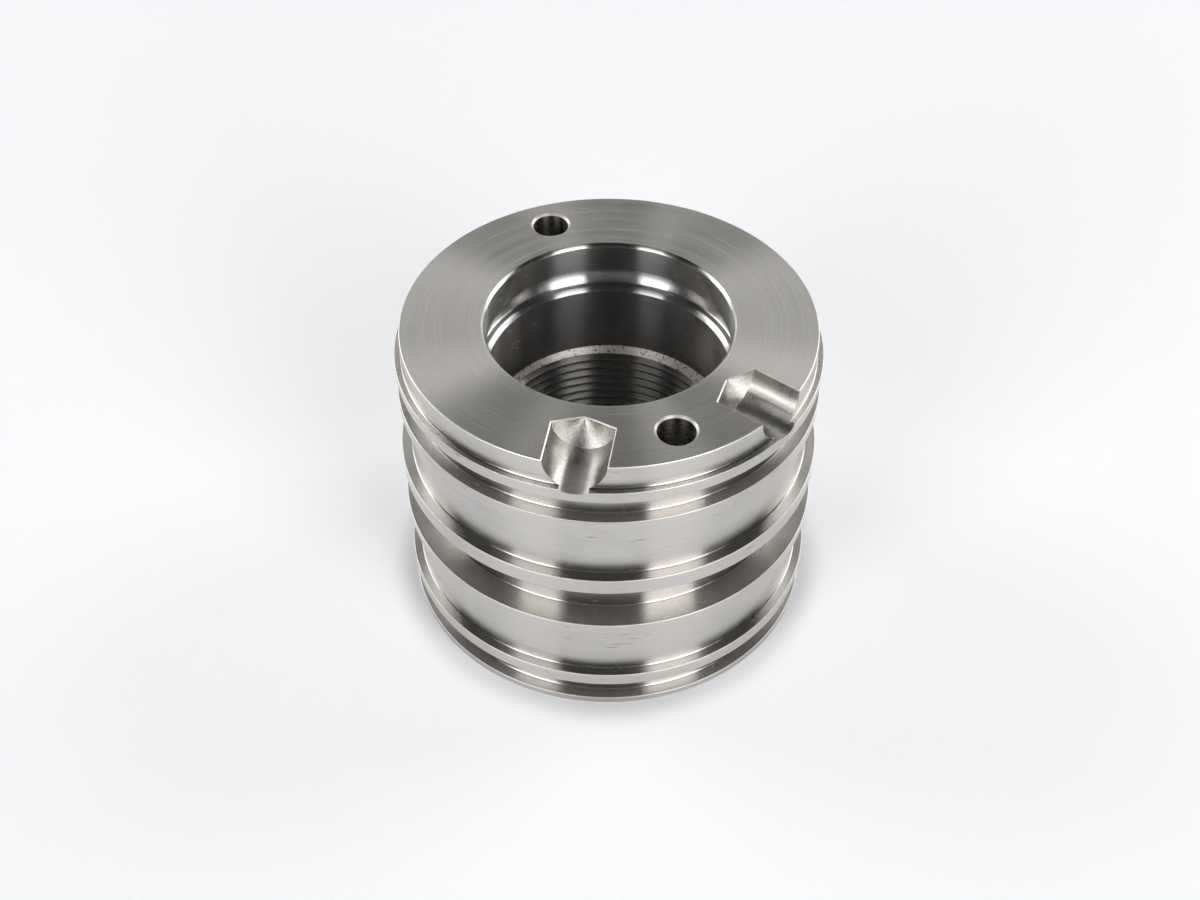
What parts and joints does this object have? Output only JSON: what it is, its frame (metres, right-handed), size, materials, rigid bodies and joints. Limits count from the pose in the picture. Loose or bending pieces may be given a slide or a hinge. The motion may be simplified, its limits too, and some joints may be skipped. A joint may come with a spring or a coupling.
{
  "type": "hydraulic cylinder piston",
  "caption": "Turned steel hydraulic cylinder piston with seal and guide ring grooves, a stepped threaded bore, spanner holes and half-round oil notches in its top face.",
  "frame": {"origin": "centre of the bottom face, where the threaded end opens", "axes": "+Z along the piston's axis, from the threaded end to the face with the spanner holes; -Y through the spanner hole that lies between the two oil notches; +X completes a right-handed frame"},
  "size_m": [0.0796, 0.0796, 0.0619],
  "materials": {
    "turned_steel": "bright turned steel with fine circular tool marks"
  },
  "bodies": {
    "root": {"piston": "turned_steel"}
  },
  "joints": []
}
